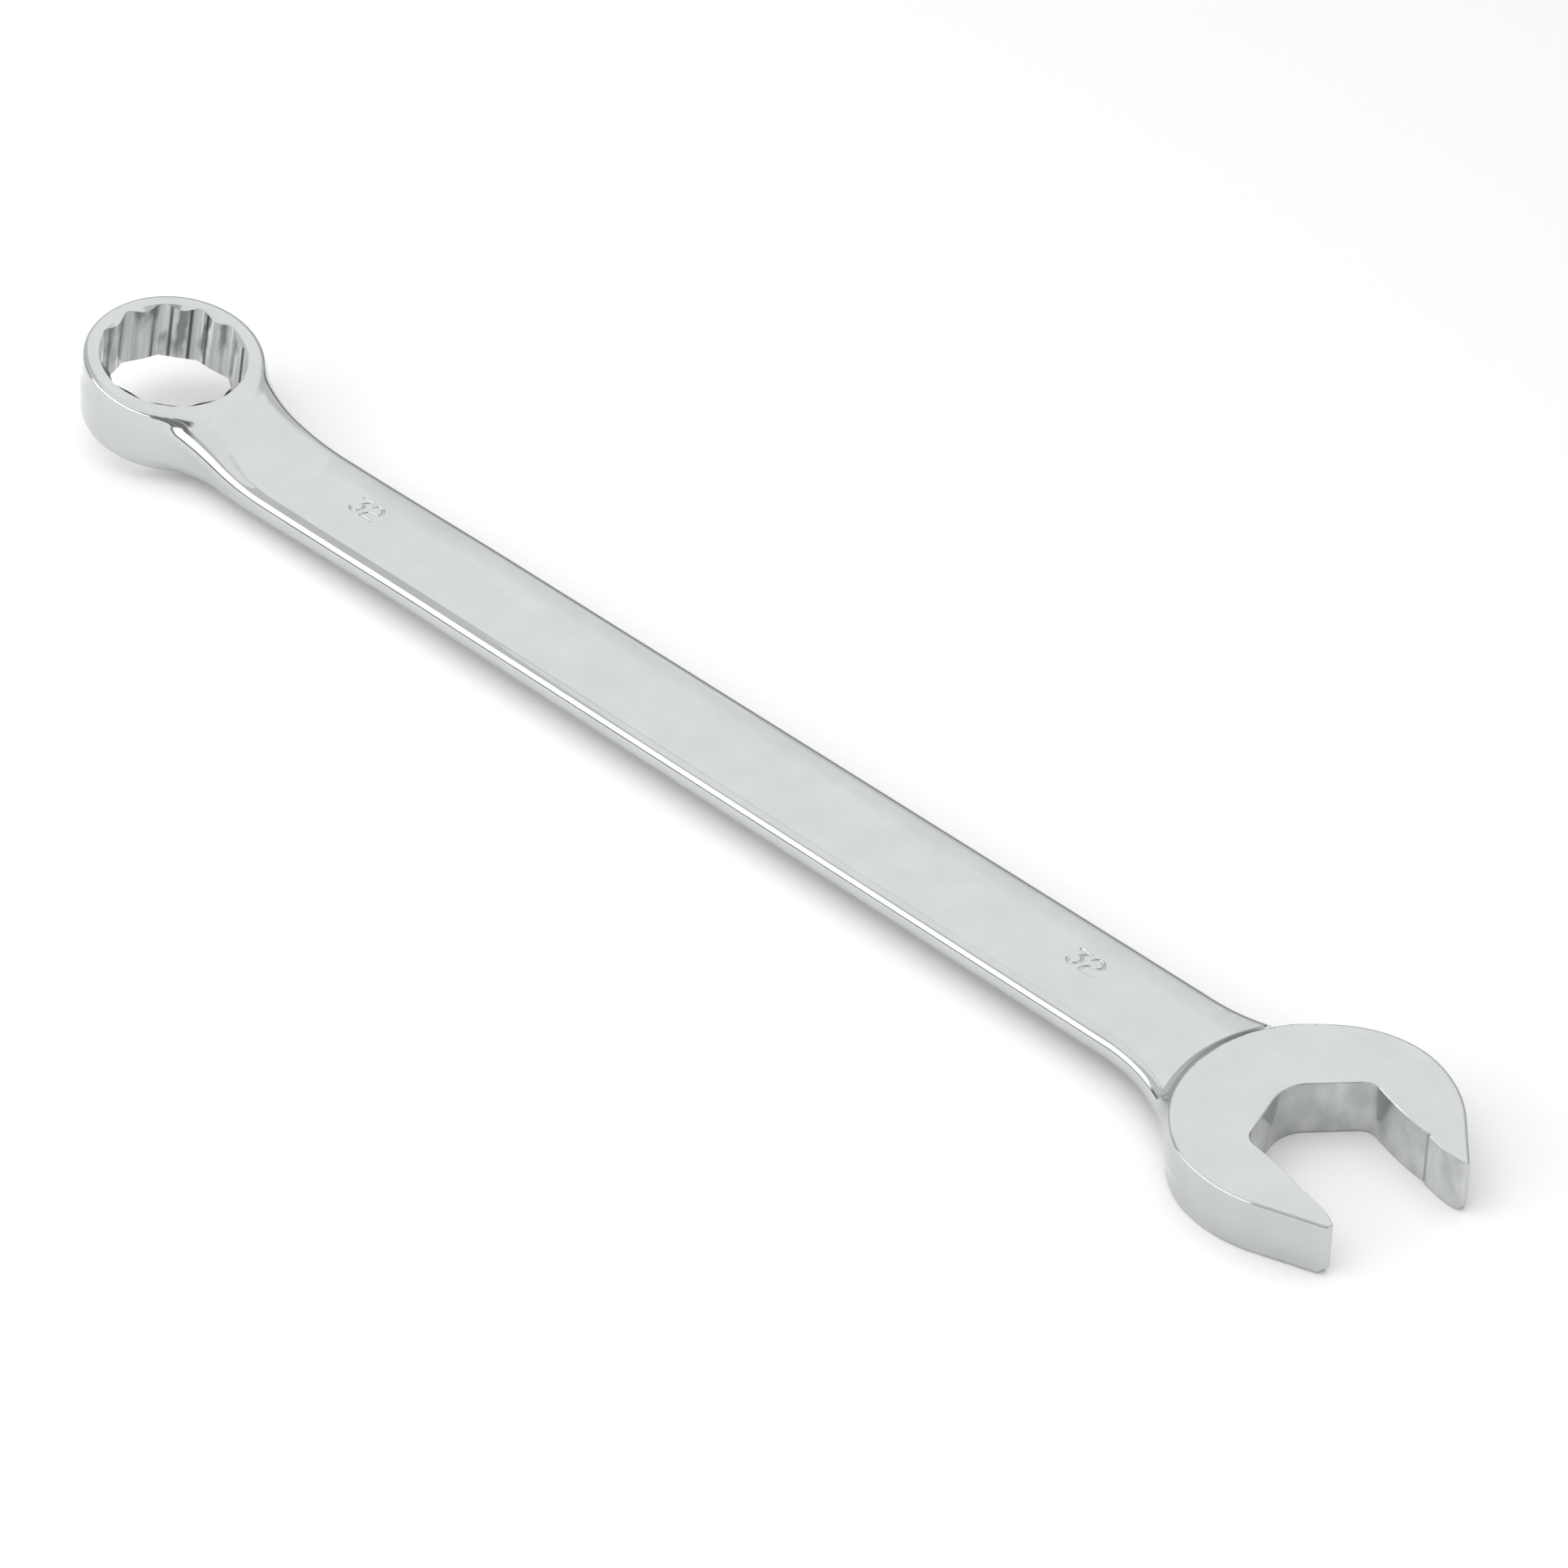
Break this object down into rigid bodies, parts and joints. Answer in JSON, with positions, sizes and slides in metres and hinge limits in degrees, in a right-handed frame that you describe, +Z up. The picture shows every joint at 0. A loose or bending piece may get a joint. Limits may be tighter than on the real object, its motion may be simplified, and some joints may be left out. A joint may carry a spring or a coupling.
{
  "type": "combination wrench",
  "caption": "Flat forged wrench with a tilted double-hexagon box end at one end and an angled open jaw at the other, both for the same nut size.",
  "frame": {"origin": "under the middle of the overall length, on the plane of the open end's underside, on the shank's centre line", "axes": "+X along the shank from the box end to the open end, +Z up, +Y towards the left jaw's side"},
  "size_m": [0.4267, 0.0643, 0.0265],
  "materials": {
    "chrome_plate": "polished chrome plate over forged steel"
  },
  "bodies": {
    "root": {"box_end_ring": "chrome_plate", "box_end_neck": "chrome_plate", "shank": "chrome_plate", "open_end_neck": "chrome_plate", "open_end_throat": "chrome_plate", "left_jaw": "chrome_plate", "right_jaw": "chrome_plate"}
  },
  "joints": []
}
